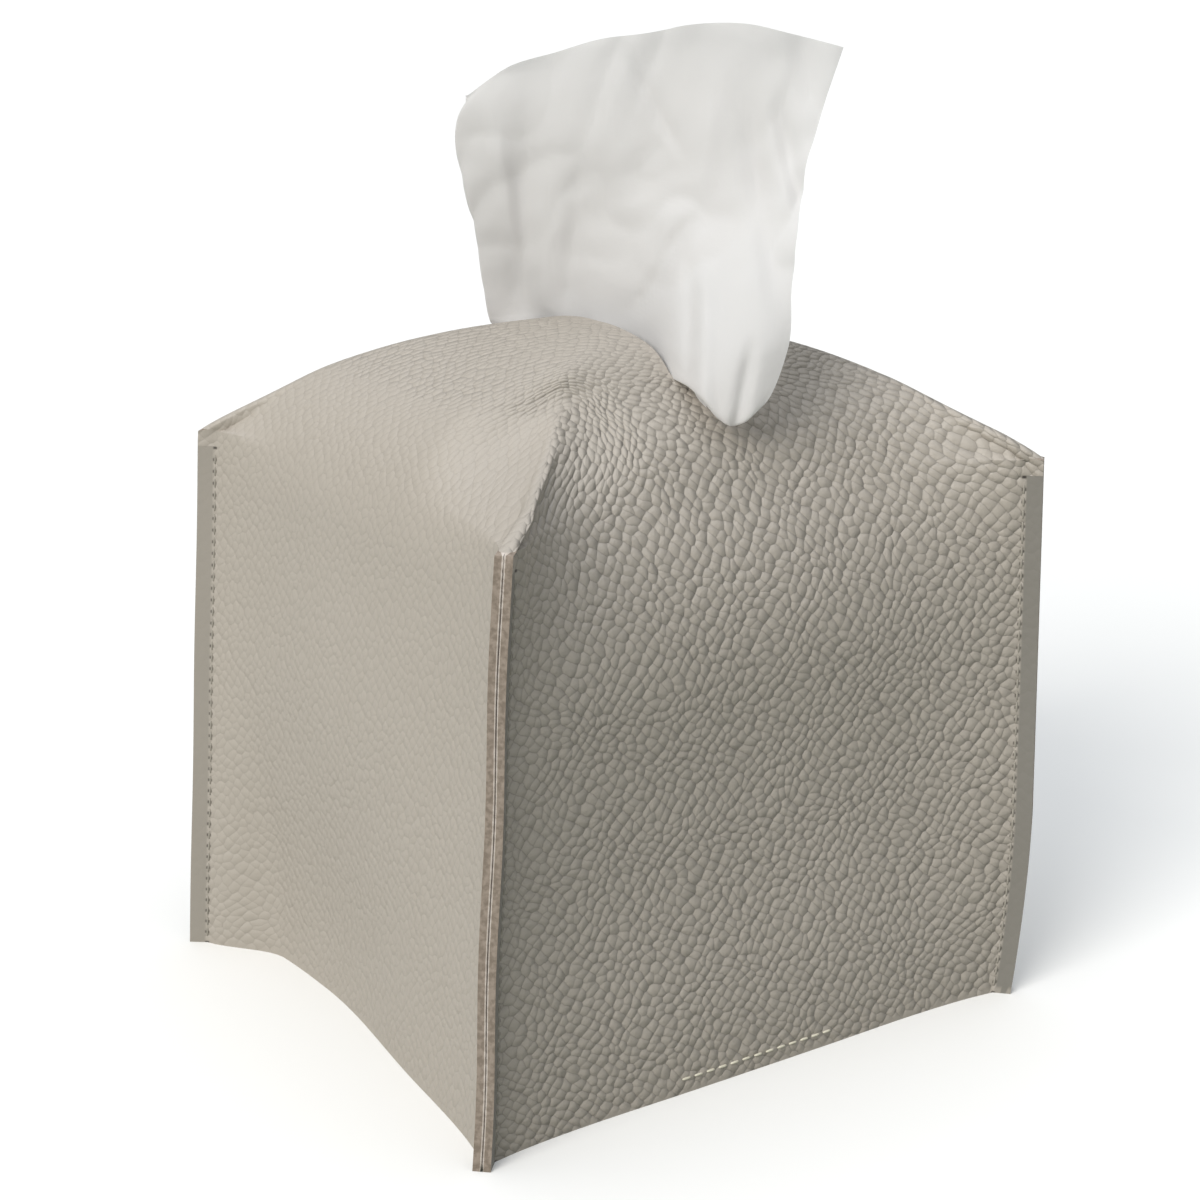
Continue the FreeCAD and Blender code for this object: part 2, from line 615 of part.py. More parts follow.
def front_lobe():
    """The fold that hangs from the front end of the tissue over the crown, blunt at its tip."""
    reach, half_width = size("lobe_reach"), size("lobe_width") / 2
    tip_z = value_of(VAULT_Z) + math.sqrt(size("vault_radius") ** 2 - reach ** 2) + size("lobe_gap")
    middle, way, width, _, _, root_z = fan_level(size("lobe_rise") / size("tissue_rise"))
    root = middle + way * (width / 2 - size("lobe_width") * size("lobe_root_share"))
    tip_place = Vector(value_of(SLOT_X), value_of(SLOT_Y) - reach, 0)
    level_shares = (0, 0.2, 0.45, 0.75, 1)
    width_shares = (0.2, 0.7, 1, 0.75, 0.4)
    out_shares = (1, 0.95, 0.75, 0.3, 0)
    levels = []
    for share, width_share, out_share in zip(level_shares, width_shares, out_shares):
        centre = root * (1 - out_share) + tip_place * out_share
        centre.z = tip_z + share * (root_z - tip_z)
        turn = math.atan2(way.y, way.x) * (1 - out_share)
        along = Vector(math.cos(turn), math.sin(turn), 0)
        out = Vector(along.y, -along.x, 0)
        half = half_width * width_share
        bow = half * size("lobe_bow_share") * out_share
        line = []
        for step in (-1, -0.5, 0, 0.5, 1):
            line.append(centre + along * (half * step) + out * (bow * (1 - step ** 2)))
        levels.append(Part.makePolygon(outline(line, size("tissue_thick") / 2)))
    return Part.makeLoft(levels, True, True)


leather_cover()
seam_threads()
bottom_closure()
tissue_carton()
tissue_stack()
pulled_tissue()
doc.recompute()

for thing in doc.Objects:
    if "Invalid" in thing.State or "Error" in thing.State:
        raise RuntimeError(f"{thing.Label} did not recompute: {thing.State}")
for piece in pieces:
    if piece.Shape.isNull() or not piece.Shape.isValid():
        raise RuntimeError(f"{piece.Label} has no valid shape")
    if not piece.Shape.Solids:
        raise RuntimeError(f"{piece.Label} has no solid")

os.makedirs("parts", exist_ok=True)
for piece in pieces:
    piece.Shape.exportStep(f"parts/{piece.Label}.step")
    print(piece.Label, len(piece.Shape.Solids), "solids", round(piece.Shape.Volume, 1), "mm3")
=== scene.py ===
import math

import bmesh
import bpy
import numpy as np
from mathutils import Matrix, Vector, noise


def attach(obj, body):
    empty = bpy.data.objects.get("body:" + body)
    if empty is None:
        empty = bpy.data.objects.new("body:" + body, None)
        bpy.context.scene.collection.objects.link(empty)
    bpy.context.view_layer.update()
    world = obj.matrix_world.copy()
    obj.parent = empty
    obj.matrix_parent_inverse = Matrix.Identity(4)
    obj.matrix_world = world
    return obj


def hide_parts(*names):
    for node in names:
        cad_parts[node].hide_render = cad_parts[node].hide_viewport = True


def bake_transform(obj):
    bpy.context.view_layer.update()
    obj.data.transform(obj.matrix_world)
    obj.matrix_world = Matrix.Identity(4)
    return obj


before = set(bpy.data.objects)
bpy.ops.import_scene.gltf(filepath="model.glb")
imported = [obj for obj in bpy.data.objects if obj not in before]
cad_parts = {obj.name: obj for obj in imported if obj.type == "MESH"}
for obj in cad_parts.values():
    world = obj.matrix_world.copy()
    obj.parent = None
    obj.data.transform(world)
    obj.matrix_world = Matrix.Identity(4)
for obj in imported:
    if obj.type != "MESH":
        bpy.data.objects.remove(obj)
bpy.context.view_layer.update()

# Lengths are in millimetres until a mesh is made
MM = 0.001
ROOT2 = math.sqrt(2)

# The cover as it is cut: square and upright
PANEL, TIP, PLY, HALF_GAP = 61.0, 66.0, 2.0, 0.06
FIN_THICK, PINCH, PUFF = 1.75, 0.45, 0.75
VAULT, VAULT_Z = 93.0, 57.0
ROLL, ROLL_X = 30.0, 31.0
SLOT_HALF_LENGTH, SLOT_HALF_WIDTH = 40.0, 5.0
FLARE_LENGTH, FLARE_SHARE, PUFF_LENGTH = 31.0, 0.62, 1.6
CROWN_POWER, CENTRE_POWER, POWER_CHANGE = 40.0, 9.0, 1.5
BACKING, PINCH_RUN = 0.3, 0.3
SEAM_ALLOWANCE, SEAM_END, FAR_FROM_SEAM = 4.0, 2.0, 50.0
LEAST_TURN_SHARE, LEAST_RIDGE, LEAST_WIDTH, RIM_BLEND_SHARE = 0.02, 0.1, 0.001, 0.35
MERGE, SLIVER, SHARP_ANGLE, STRAP_SHARP_ANGLE = 0.02, 0.005, math.radians(50), math.radians(60)
FIN_END_TURNS = (30, 60, 90)
ROLL_Z = VAULT_Z + math.sqrt((VAULT - ROLL) ** 2 - ROLL_X ** 2)
SEAM_TOP = VAULT_Z + math.sqrt(VAULT ** 2 - TIP ** 2)
SEAM_TURN = math.asin((SEAM_TOP - ROLL_Z) / ROLL)
ROLL_END = math.atan2(ROLL_Z - VAULT_Z, ROLL_X)
VAULT_END = math.pi / 2 - ROLL_END
WALL_ROWS, SEAM_ROWS, RIDGE_ROWS, VAULT_ROWS = 58, 7, 16, 16
FLAT_POINTS, FLARE_POINTS, FIN_POINTS = 13, 16, 6
PANELS = (("front", 0), ("right", 90), ("back", 180), ("left", 270))

# How strongly the grain shows on each panel, on the crown at least, and on the straps; the panels' values
# also set how dark the painted shade on their flanges is
GRAIN = {"front": 1.0, "right": 0.9, "back": 0.8, "left": 0.4}
CROWN_GRAIN, STRAP_GRAIN = 0.5, 0.7

# The length on the leather's flat blank that is one unit of its UV map
BLANK_UNIT = 100

# The kinds of face on the leather, and how many at a panel's edge are cut
SKIN, CUT, INNER = 0, 1, 2
CUT_FACES = 3

# How the soft cover stands: wider at its foot, leaning to the right
FOOT_SPREAD, TOP_SPREAD = (1.0636, 0.9758), (1.0227, 0.9485)
LEAN, LEAN_PIVOT = (4.2, -1.1), 0.2
SIDE_BAND = (40, 57)

# The left and the right panel are pressed in at the table
BOW_HEIGHT, LEFT_BOW, RIGHT_BOW = 78, 8.2, 3.0
LEFT_BOW_PLACE, LEFT_BOW_WIDTH, LEFT_BOW_END, RIGHT_BOW_WIDTH = 25, 47, (44, 63), 38

# The front and the back are pushed out at the table and wave a little above it
FOOT_HEIGHT, FOOT_PUSH, PUSH_HALF_WIDTH = 60, 1.9, 64
SAG, SAG_LENGTHS, SAG_HALF_WIDTH = 0.8, (31, 40), 60

# The front is dished at its waist, and its shoulder is drawn back to the crown
WAIST_DISH, WAIST_START, WAIST_END = 1.6, (14, 50), (62, 106)
SHOULDER_SLOPE, SHOULDER_START, SHOULDER_BEND, SHOULDER_RUN = 0.48, 84, 28, 16
EASE_START, EASE_LENGTH = 116, 12
FRONT_HALF_WIDTH, FRONT_BAND, DRAWN_POWERS = 60, (16, 50), (5.0, 3.5)

# The ridge from the near seam to the crown is drawn in
RIDGE_SHIFT, RIDGE_BAND, RIDGE_START, RIDGE_END = (12.0, 5.0), (15, 45), (121, 136), (141, 150)

# The right front corner swells, and the raw edges ripple
SWELL, SWELL_RISE, SWELL_FALL, SWELL_BAND, SWELL_WAY = 2.3, 42, 80, (40, 66), (0.8, 0.6)
RIPPLE, RIPPLE_LENGTHS, RIPPLE_BAND = 0.15, (9.0, 7), (84, 92)

# Stitches: the seams' rows, and the rows that hold the belt and the tab
STITCH_PITCH, STITCH_LENGTH, THREAD_RADIUS = 2.7, 2.1, 0.3
STITCH_SIDES, STITCH_STEPS, THREAD_END_SHARE = 8, 6, 0.05
SEAM_ROW_END, PROBE = 4, 0.5
BELT_STITCHES = 13

# The belt and the tab: the strap's section, its sewn end and its bend
STRAP_HALF_WIDTH, STRAP_THICK, STRAP_TIP, STRAP_BEND = 19.0, 1.6, 5.0, 0.9
STRAP_Y, STRAP_INNER_Y, HINGE_Y, SEWN_HEIGHT = 58.2, 57.35, 57.9, 9.9
STRAP_SECTION = ((-1, -0.7), (-0.985, -1), (-0.5, -1), (0, -1), (0.5, -1), (0.985, -1), (1, -0.7))
SEWN_ROWS, BEND_ROWS, FREE_ROWS, UNDERSIDE = 9, 9, 60, 200
BELT = {"floor": 0.5, "reach": 106.0, "row": 3.3}
TAB = {"floor": 4.1, "reach": 31.0, "row": 6.9}

# The camera of the picture
AZIMUTH, ELEVATION, TWIST = math.radians(-34.52), math.radians(16.81), math.radians(0.12)
CAMERA_PLACE = (-285.94, -417.2, 240.3)
LENS, SENSOR, CLIP = 72.0, 36.0, (0.01, 100)
ACROSS = np.array([math.cos(AZIMUTH), math.sin(AZIMUTH), 0])
NEARER = np.array([math.sin(AZIMUTH), -math.cos(AZIMUTH), 0])


def smooth(low, high, value):
    share = np.clip((value - low) / (high - low), 0, 1)
    return share * share * (3 - 2 * share)


# Materials


def material(name, colour, roughness):
    made = bpy.data.materials.new(name)
    made.use_nodes = True
    shader = made.node_tree.nodes["Principled BSDF"]
    shader.inputs["Base Color"].default_value = (*colour, 1)
    shader.inputs["Roughness"].default_value = roughness
    return made


class Nodes:
    """Short ways to add nodes to a material."""

    def __init__(self, made):
        self.tree = made.node_tree
        self.shader = self.tree.nodes["Principled BSDF"]

    def add(self, kind, inputs=None, **settings):
        node = self.tree.nodes.new(kind)
        for name, value in settings.items():
            setattr(node, name, value)
        for name, value in (inputs or {}).items():
            if isinstance(value, bpy.types.NodeSocket):
                self.tree.links.new(value, node.inputs[name])
            else:
                node.inputs[name].default_value = value
        return node

    def math(self, operation, first, second=0.0):
        return self.add("ShaderNodeMath", {0: first, 1: second}, operation=operation).outputs[0]

    def vector_math(self, operation, inputs):
        return self.add("ShaderNodeVectorMath", inputs, operation=operation).outputs[0]

    def noise(self, place, scale, detail, output=0):
        inputs = {"Vector": place, "Scale": scale, "Detail": detail}
        return self.add("ShaderNodeTexNoise", inputs).outputs[output]

    def between(self, value, low, high, to_low=0.0, to_high=1.0):
        inputs = {"Value": value, "From Min": low, "From Max": high, "To Min": to_low, "To Max": to_high}
        return self.add("ShaderNodeMapRange", inputs, interpolation_type="SMOOTHSTEP").outputs[0]

    def mix(self, share, first, second):
        node = self.add("ShaderNodeMix", {"Factor": share}, data_type="RGBA")
        for socket, colour in ((node.inputs[6], first), (node.inputs[7], second)):
            if isinstance(colour, bpy.types.NodeSocket):
                self.tree.links.new(colour, socket)
            else:
                socket.default_value = (*colour, 1)
        return node.outputs[2]

    def direct(self):
        """1 where a surface is seen by the camera or in a reflection, 0 where it lights the object."""
        rays = self.add("ShaderNodeLightPath").outputs
        seen_rays = self.math("MAXIMUM", rays["Is Camera Ray"], rays["Is Glossy Ray"])
        return self.math("MAXIMUM", seen_rays, rays["Is Transmission Ray"])

    def uv(self, name):
        return self.add("ShaderNodeUVMap", uv_map=name).outputs[0]

    def bump(self, height, distance, strength):
        node = self.add("ShaderNodeBump", {"Height": height, "Distance": distance, "Strength": strength})
        self.link(node.outputs[0], "Normal")

    def link(self, socket, name):
        self.tree.links.new(socket, self.shader.inputs[name])


# The leather's colours, and its pebbles: how many lie across one unit of the blank, and how they are turned
LEATHER_DARK, LEATHER_LIGHT = (0.385, 0.345, 0.297), (0.412, 0.370, 0.322)
# Painted shade: darker colours for the shade in the pebbles' creases, on the seams' flanges and in the
# needle holes
CREASE_PAINTED_SHADE_TONE, FLANGE_PAINTED_SHADE_TONE, HOLE_PAINTED_SHADE_TONE = (0.17, 0.155, 0.13), (0.17, 0.16, 0.14), (0.07, 0.06, 0.05)
LEATHER_ROUGHNESS, CREASE_SHADE = 0.52, 0.35
PEBBLES_ACROSS, PEBBLES_ALONG, PEBBLE_TURN = 44, 53, math.radians(-38)
PEBBLE_RANDOMNESS, PEBBLE_ROUNDNESS, PEBBLE_HEIGHT, GROOVE_WIDTH = 0.55, 1.5, 0.00065, 0.1
PEBBLE_DRIFTS = ((6.0, 0.05), (24.0, 0.006), (75.0, 0.004))
PORE_SCALE, PORE_SHARE, CLOUD_SCALE = 150.0, 0.15, 2.5
DRIFT_DETAIL, PORE_DETAIL, CLOUD_DETAIL, NOISE_MEAN = 2.0, 3.0, 2.0, (0.5, 0.5, 0.5)
# The flanges: where they begin, how much grain they keep, and how strong their painted shade is from the
# left panel to the front
FLANGE_EDGE, FLANGE_GRAIN, FLANGE_PAINTED_SHADE_SHARES = (0.8, 0.1), 0.12, (0.35, 0.9)
HOLE_ACROSS, HOLE_ALONG = (0.25, 0.75), (0.3, 0.45)


def drifted(nodes, place):
    """The place on the blank, moved about by a few sizes of noise so that the pebbles' rows wander."""
    for scale, reach in PEBBLE_DRIFTS:
        drift = nodes.noise(place, scale, DRIFT_DETAIL, "Color")
        drift = nodes.vector_math("SUBTRACT", {0: drift, 1: NOISE_MEAN})
        drift = nodes.vector_math("SCALE", {0: drift, "Scale": reach})
        place = nodes.vector_math("ADD", {0: place, 1: drift})
    return place


def pebbled_leather():
    """Raised pebbles between fine creases, with needle holes along the corner seams; painted shade darkens
    the creases, the needle holes and the seams' flanges.
    """
    made = material("pebbled_leather", LEATHER_DARK, LEATHER_ROUGHNESS)
    nodes = Nodes(made)
    place = drifted(nodes, nodes.uv("Blank"))
    cell_size = (1 / PEBBLES_ACROSS, 1 / PEBBLES_ALONG, 1.0)
    turn = {"Vector": place, "Rotation": (0, 0, PEBBLE_TURN), "Scale": cell_size}
    cells = nodes.add("ShaderNodeMapping", turn, vector_type="TEXTURE").outputs[0]
    spread = {"Vector": cells, "Scale": 1.0, "Randomness": PEBBLE_RANDOMNESS}
    dome, valley = [
        nodes.add("ShaderNodeTexVoronoi", spread, voronoi_dimensions="2D", feature=feature).outputs[0]
        for feature in ("F1", "DISTANCE_TO_EDGE")
    ]
    hollow = nodes.math("MULTIPLY", nodes.math("POWER", dome, 2.0), PEBBLE_ROUNDNESS)
    pores = nodes.math("MULTIPLY", nodes.noise(place, PORE_SCALE, PORE_DETAIL), PORE_SHARE)
    height = nodes.math("ADD", nodes.math("SUBTRACT", 1.0, hollow), pores)
    seam = nodes.add("ShaderNodeSeparateXYZ", {0: nodes.uv("Seam")})
    flange_start, flange_end = [SEAM_ALLOWANCE - edge for edge in FLANGE_EDGE]
    flange = nodes.between(seam.outputs[0], flange_start, flange_end, 1.0, 0.0)
    across = nodes.math("ABSOLUTE", nodes.math("SUBTRACT", seam.outputs[0], SEAM_ALLOWANCE))
    along = nodes.math("ABSOLUTE", nodes.math("SUBTRACT", nodes.math("FRACT", seam.outputs[1]), 0.5))
    near_row = nodes.between(across, *HOLE_ACROSS, 1.0, 0.0)
    hole = nodes.math("MULTIPLY", near_row, nodes.between(along, *HOLE_ALONG))
    panel = nodes.add("ShaderNodeAttribute", attribute_name="grain").outputs["Fac"]
    grain = nodes.math("MULTIPLY", panel, nodes.between(flange, 0.0, 1.0, 1.0, FLANGE_GRAIN))
    nodes.bump(height, PEBBLE_HEIGHT, grain)
    cloud = nodes.noise(nodes.uv("Blank"), CLOUD_SCALE, CLOUD_DETAIL)
    tone = nodes.mix(cloud, LEATHER_DARK, LEATHER_LIGHT)
    # Painted shade in the creases between the pebbles, stronger where the grain shows more
    groove = nodes.between(valley, 0.0, GROOVE_WIDTH)
    crease = nodes.math("MULTIPLY", nodes.between(groove, 0.0, 1.0, 1.0, 0.0), grain)
    tone = nodes.mix(nodes.math("MULTIPLY", crease, CREASE_SHADE), tone, CREASE_PAINTED_SHADE_TONE)
    # Painted shade on the seams' flanges, stronger on the front than on the left
    panel_painted_shade = nodes.between(panel, GRAIN["left"], GRAIN["front"], *FLANGE_PAINTED_SHADE_SHARES)
    tone = nodes.mix(nodes.math("MULTIPLY", flange, panel_painted_shade), tone, FLANGE_PAINTED_SHADE_TONE)
    # Painted shade: the needle holes as dark dots
    nodes.link(nodes.mix(hole, tone, HOLE_PAINTED_SHADE_TONE), "Base Color")
    return made


# The cut edges, the paper and the tapes: roughness, the scale of their relief, its height and its strength
EDGE_ROUGHNESS, PAPER_ROUGHNESS, TAPE_ROUGHNESS, PLAIN_ROUGHNESS = 0.85, 0.95, 0.9, 0.7
FIBRE_SCALE, FIBRE_DETAIL, FIBRE_BAND, FIBRE_HEIGHT, FIBRE_STRENGTH = 900.0, 3.0, (0.35, 0.65), 0.0003, 0.7
PAPER, PAPER_SHEEN, PAPER_GLOW = (0.80, 0.785, 0.775), 0.15, 0.42
CREPE_SCALE, CREPE_DETAIL, CREPE_HEIGHT, CREPE_STRENGTH = 26.0, 5.0, 0.0004, 0.25
HOOK_SCALE, LOOP_SCALE, PILE_HEIGHT, PILE_STRENGTH = 1500.0, 900.0, 0.0004, 0.6


def raw_edge(name, colour, dark):
    """A cut edge: compressed fibres."""
    made = material(name, colour, EDGE_ROUGHNESS)
    nodes = Nodes(made)
    place = nodes.add("ShaderNodeTexCoord").outputs["Object"]
    fibres = nodes.noise(place, FIBRE_SCALE, FIBRE_DETAIL)
    nodes.link(nodes.mix(nodes.between(fibres, *FIBRE_BAND), dark, colour), "Base Color")
    nodes.bump(fibres, FIBRE_HEIGHT, FIBRE_STRENGTH)
    return made


def soft_paper():
    """Thin crinkled paper that lets some light through."""
    made = material("tissue_paper", PAPER, PAPER_ROUGHNESS)
    nodes = Nodes(made)
    nodes.shader.inputs["Specular IOR Level"].default_value = PAPER_SHEEN
    crepe = nodes.noise(nodes.uv("Sheet"), CREPE_SCALE, CREPE_DETAIL)
    nodes.bump(crepe, CREPE_HEIGHT, CREPE_STRENGTH)
    glow = nodes.add("ShaderNodeBsdfTranslucent", {"Color": (*PAPER, 1)}).outputs[0]
    both = nodes.add("ShaderNodeMixShader", {0: PAPER_GLOW, 1: nodes.shader.outputs[0], 2: glow}).outputs[0]
    nodes.tree.links.new(both, nodes.tree.nodes["Material Output"].inputs["Surface"])
    return made


def woven(name, colour, scale):
    """Tape with a fine weave or pile."""
    made = material(name, colour, TAPE_ROUGHNESS)
    nodes = Nodes(made)
    place = nodes.add("ShaderNodeTexCoord").outputs["Object"]
    pile = nodes.add("ShaderNodeTexVoronoi", {"Vector": place, "Scale": scale}).outputs["Distance"]
    nodes.bump(pile, PILE_HEIGHT, PILE_STRENGTH)
    return made


LEATHER = pebbled_leather()
CORE = raw_edge("leather_core", (0.30, 0.245, 0.20), (0.20, 0.16, 0.125))
LINING = raw_edge("leather_backing", (0.56, 0.50, 0.45), (0.44, 0.38, 0.33))
SEAM_THREAD = material("seam_thread", (0.30, 0.275, 0.235), PLAIN_ROUGHNESS)
BELT_THREAD = material("belt_thread", (0.66, 0.62, 0.50), PLAIN_ROUGHNESS)
BOARD = material("carton_board", (0.74, 0.73, 0.70), PLAIN_ROUGHNESS)
TISSUE = soft_paper()
HOOKS = woven("hook_tape", (0.50, 0.48, 0.44), HOOK_SCALE)
LOOPS = woven("loop_tape", (0.52, 0.50, 0.46), LOOP_SCALE)


# Meshes


def mesh_object(name, points, faces, materials, kinds=None):
    """A smooth mesh from points in millimetres; kinds gives each face's material."""
    mesh = bpy.data.meshes.new(name)
    mesh.from_pydata((np.asarray(points) * MM).tolist(), [], faces)
    for each in materials:
        mesh.materials.append(each)
    if kinds is not None:
        mesh.polygons.foreach_set("material_index", kinds)
    mesh.polygons.foreach_set("use_smooth", [True] * len(mesh.polygons))
    made = bpy.data.objects.new(name, mesh)
    bpy.context.scene.collection.objects.link(made)
    return made


def add_uv(mesh, name, values):
    """A UV map from one pair of values for each vertex."""
    layer = mesh.uv_layers.new(name=name)
    corners = np.zeros(len(mesh.loops), np.int32)
    mesh.loops.foreach_get("vertex_index", corners)
    layer.uv.foreach_set("vector", np.asarray(values, np.float32)[corners].ravel())


def grid_faces(first, rows, columns):
    faces = []
    for row in range(rows - 1):
        for column in range(columns - 1):
            corner = first + row * columns + column
            faces.append((corner, corner + 1, corner + columns + 1, corner + columns))
    return faces


def tube_faces(first, rows, columns):
    """The faces between rings of points, each ring closed on itself."""
    faces = []
    for row in range(rows - 1):
        for column in range(columns):
            corner = first + row * columns + column
            beside = first + row * columns + (column + 1) % columns
            faces.append((corner, beside, beside + columns, corner + columns))
    return faces


# The leather cover


def on_fin(along, off):
    """A plan point at a distance along the corner's diagonal and a distance off it."""
    return np.array([along - off, -along - off]) / ROOT2


def line_points(start, end, count):
    shares = np.arange(1, count + 1)[:, None] / count
    return start + (end - start) * shares


def spike_half(panel, tip, thick, closed):
    """Half a level, from the middle of a panel to its corner: it puffs out, is pinched by the stitches and
    ends in a fin, with a round or a cut end."""
    drawn = min(max((tip - panel) / (TIP - PANEL), 0), 1)
    reach = tip * ROOT2 - (thick if closed else 0)
    pinched = reach - SEAM_ALLOWANCE * drawn
    middle = np.array([0, -panel])
    end = on_fin(pinched - PUFF_LENGTH * drawn - PINCH_RUN, thick + PUFF * drawn)
    start = np.array([end[0] - FLARE_LENGTH, -panel])
    bend = np.array([end[0] - FLARE_LENGTH * (1 - FLARE_SHARE), -panel])
    points = [middle[None], line_points(middle, start, FLAT_POINTS)]
    share = (np.arange(1, FLARE_POINTS + 1) / FLARE_POINTS)[:, None]
    points.append((1 - share) ** 2 * start + 2 * share * (1 - share) * bend + share ** 2 * end)
    waist = on_fin(pinched, thick - min(PINCH * drawn, thick / 2))
    points += [waist[None], line_points(waist, on_fin(reach, thick), FIN_POINTS)]
    if closed:
        ends = [(math.sin(turn), math.cos(turn)) for turn in np.radians(FIN_END_TURNS)]
        points.append(np.array([on_fin(reach + thick * past, thick * off) for past, off in ends]))
    else:
        offs = (0.5 * (thick + BACKING), min(thick, HALF_GAP + BACKING), HALF_GAP)
        points.append(np.array([on_fin(reach, off) for off in offs]))
    return np.concatenate(points)


def round_half(panel, power, like):
    """Half a level with a rounded corner, its points spread as those of another half level."""
    steps = np.linalg.norm(np.diff(like, axis=0), axis=1)
    ratio = np.concatenate([[0], np.cumsum(steps)]) / steps.sum()
    deep = panel / (1 + ratio ** power) ** (1 / power)
    return np.stack([ratio * deep, -deep], 1)


def whole(half):
    """Both halves of a level, from corner to corner."""
    return np.concatenate([half[:0:-1] * (-1, 1), half])


def levels(inset):
    """The levels of one panel, foot first, each as its plan points, its height and its arc from the crown's
    middle; the inner ones are inset by one ply."""
    found = []
    thick = FIN_THICK if inset == 0 else HALF_GAP
    roll, vault = ROLL - inset, VAULT - inset
    arc = VAULT * VAULT_END + ROLL * ROLL_END
    for z in np.linspace(0, ROLL_Z, WALL_ROWS):
        found.append((whole(spike_half(PANEL - inset, TIP, thick, False)), z, arc + ROLL_Z - z))
    for turn in np.linspace(0, SEAM_TURN, SEAM_ROWS)[1:]:
        half = spike_half(ROLL_X + roll * math.cos(turn), TIP, thick, False)
        found.append((whole(half), ROLL_Z + roll * math.sin(turn), arc - ROLL * turn))
    for share in np.linspace(0, 1, RIDGE_ROWS):
        turn = SEAM_TURN + max(share, LEAST_TURN_SHARE) * (ROLL_END - SEAM_TURN)
        panel, z = ROLL_X + roll * math.cos(turn), ROLL_Z + roll * math.sin(turn)
        ridge = math.sqrt(max(vault ** 2 - (z - VAULT_Z) ** 2, panel ** 2))
        spike = spike_half(panel, max(ridge, panel + LEAST_RIDGE), thick, True)
        soft = round_half(panel, CROWN_POWER, spike)
        half = spike + (soft - spike) * smooth(0.0, 1.0, share)
        found.append((whole(half), z, arc - ROLL * turn))
    return found


def turned(points, degrees):
    angle = math.radians(degrees)
    matrix = np.array([[math.cos(angle), -math.sin(angle)], [math.sin(angle), math.cos(angle)]])
    return points @ matrix.T


def panel_grid(inset, degrees):
    """One panel's points, its place on the flat blank and its distance from the raw edge."""
    points, blank, seam = [], [], []
    for plan, z, arc in levels(inset):
        steps = np.concatenate([[0], np.cumsum(np.linalg.norm(np.diff(plan, axis=0), axis=1))])
        across = steps - steps[-1] / 2
        points.append(np.column_stack([turned(plan, degrees), np.full(len(plan), z)]))
        blank.append(turned(np.column_stack([across, np.full(len(plan), -arc)]), degrees))
        edge = np.minimum(steps, steps[-1] - steps) - (FIN_THICK - HALF_GAP)
        sewn = edge if z < SEAM_TOP - SEAM_END else np.full(len(plan), FAR_FROM_SEAM)
        seam.append(np.column_stack([sewn, np.full(len(plan), z / STITCH_PITCH)]))
    return np.array(points), np.array(blank), np.array(seam)


def slot_point(plan):
    """Where a point on the rim of the crown's patch comes to lie on the slot's edge."""
    x, y = plan / np.abs(plan).max()
    straight = SLOT_HALF_LENGTH - SLOT_HALF_WIDTH
    if abs(x) >= abs(y):
        return np.array([math.copysign(SLOT_HALF_WIDTH, x), y * straight])
    angle = x * math.pi / 2
    end = np.array([SLOT_HALF_WIDTH * math.sin(angle), straight + SLOT_HALF_WIDTH * math.cos(angle)])
    return end * (1, math.copysign(1, y))


def vault_height(plan, inset):
    """The crown's height: square levels near the shoulders, round ones in the middle."""
    x, y = np.abs(plan).T
    wide = np.maximum(np.maximum(x, y), LEAST_WIDTH)
    share = np.clip(wide / (VAULT * math.sin(VAULT_END)), 0, 1)
    power = CENTRE_POWER + (CROWN_POWER - CENTRE_POWER) * share ** POWER_CHANGE
    distance = wide * ((x / wide) ** power + (y / wide) ** power) ** (1 / power)
    return VAULT_Z + np.sqrt(np.maximum((VAULT - inset) ** 2 - distance ** 2, 0))


def crown_grid(inset, rim, rim_blank):
    """Rows from the rim of the crown's patch in to the slot."""
    goal = np.array([slot_point(point) for point in rim[:, :2]])
    goal_arc = VAULT * np.arcsin(np.linalg.norm(goal, axis=1) / VAULT) / np.linalg.norm(goal, axis=1)
    rim_rise = rim[:, 2] - vault_height(rim[:, :2], inset)
    points, blank = [rim], [rim_blank]
    for share in np.linspace(0, 1, VAULT_ROWS)[1:]:
        plan = rim[:, :2] + (goal - rim[:, :2]) * share
        z = vault_height(plan, inset) + rim_rise * (1 - smooth(0, RIM_BLEND_SHARE, share))
        points.append(np.column_stack([plan, z]))
        blank.append(rim_blank + (goal * goal_arc[:, None] - rim_blank) * share)
    return np.array(points), np.array(blank)


def drawn_front(x, y, z):
    """How far back the front is drawn: at its waist and at its shoulder."""
    inside = np.clip(np.abs(x) / FRONT_HALF_WIDTH, 0, 1)
    bend = np.clip(z - SHOULDER_START, 0, SHOULDER_BEND) ** 2 / (2 * SHOULDER_BEND)
    run = np.clip(z - SHOULDER_START - SHOULDER_BEND, 0, SHOULDER_RUN)
    ease = np.clip(z - EASE_START, 0, EASE_LENGTH) ** 2 / (2 * EASE_LENGTH)
    drawn = SHOULDER_SLOPE * (bend + run - ease) * (1 - inside ** np.where(x < 0, *DRAWN_POWERS))
    waist = WAIST_DISH * smooth(*WAIST_START, z) * (1 - smooth(*WAIST_END, z)) * (1 - inside ** 2)
    return (waist + drawn) * smooth(*FRONT_BAND, -y)


def corner_swell(x, y, z):
    """How far the right front corner swells out."""
    rise = 1 - (1 - np.clip(z / SWELL_RISE, 0, 1)) ** 2
    fall = 1 - np.clip((z - SWELL_RISE) / SWELL_FALL, 0, 1)
    return SWELL * rise * fall * smooth(*SWELL_BAND, x) * smooth(*SWELL_BAND, -y)


